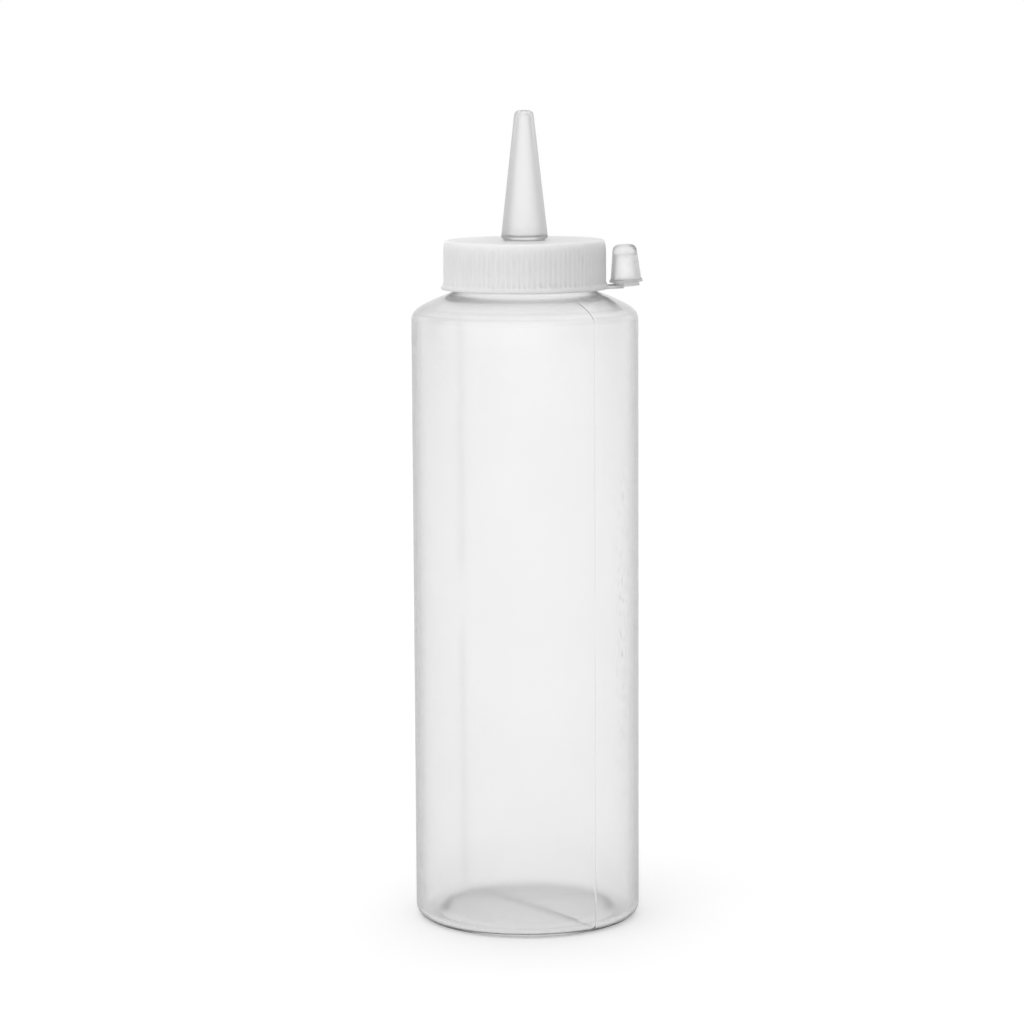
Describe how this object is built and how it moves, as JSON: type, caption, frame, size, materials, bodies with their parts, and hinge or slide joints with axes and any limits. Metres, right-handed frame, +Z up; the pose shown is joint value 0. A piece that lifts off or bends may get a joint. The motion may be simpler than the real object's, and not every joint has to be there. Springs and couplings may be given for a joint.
{
  "type": "squeeze bottle",
  "caption": "Translucent cylindrical squeeze bottle for sauce, with a ribbed screw cap, a conical nozzle and a pull-off tip cap parked on a side tab.",
  "frame": {"origin": "on the bottle's axis, in the plane that the bottle stands on", "axes": "+Z up along the bottle's axis, +X towards the screw cap's parking tab, with the front at -Y"},
  "size_m": [0.057, 0.056, 0.2008],
  "materials": {
    "bottle_plastic": "natural low-density polyethylene, blow-moulded, translucent satin",
    "nozzle_plastic": "natural low-density polyethylene, injection-moulded, translucent",
    "cap_plastic": "white polyethylene, injection-moulded, satin",
    "tip_cap_plastic": "natural low-density polyethylene, injection-moulded, translucent"
  },
  "bodies": {
    "bottle": {"bottle": "bottle_plastic"},
    "nozzle": {"nozzle": "nozzle_plastic"},
    "screw_cap": {"screw_cap": "cap_plastic"},
    "tip_cap": {"tip_cap": "tip_cap_plastic"}
  },
  "joints": [
    {"name": "nozzle_lift", "type": "slide", "parent": "bottle", "child": "nozzle", "axis": [0, 0, 1], "range_m": [0, 0.0128]},
    {"name": "cap_turn", "type": "hinge", "parent": "nozzle", "child": "screw_cap", "pos_m": [0, 0, 0.1625], "axis": [0, 0, 1], "range_deg": [0, 1080]},
    {"name": "tip_cap_pull", "type": "slide", "parent": "screw_cap", "child": "tip_cap", "axis": [-0.0436, 0, 0.999], "range_m": [0, 0.012]}
  ],
  "couplings": [
    {"joint": "nozzle_lift", "follows": "cap_turn", "m_per_rad": 0.00067323}
  ]
}
